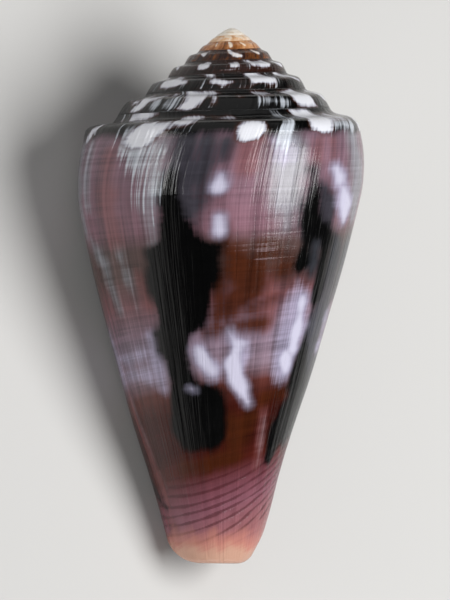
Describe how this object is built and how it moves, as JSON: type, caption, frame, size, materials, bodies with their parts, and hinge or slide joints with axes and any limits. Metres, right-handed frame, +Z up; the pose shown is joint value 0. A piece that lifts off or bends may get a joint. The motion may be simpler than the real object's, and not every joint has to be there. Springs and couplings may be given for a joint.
{
  "type": "gauguin cone shell",
  "caption": "Tapering cone-shaped sea shell with a low stepped spire and a long narrow aperture, lying on its aperture side; a loose natural find to pick up, display or scatter.",
  "frame": {"origin": "under the middle of the bounding box, on the surface that the shell lies on", "axes": "+Z up; +Y runs along the shell towards the spire, whose axis rises 12.6 degrees towards +Y; the outer lip is on the -X side, facing down"},
  "size_m": [0.0366, 0.0694, 0.0337],
  "materials": {
    "shell": "polished porcelain-like shell, black, mauve and orange-brown blotches with white flames"
  },
  "bodies": {
    "root": {"shell": "shell"}
  },
  "joints": []
}
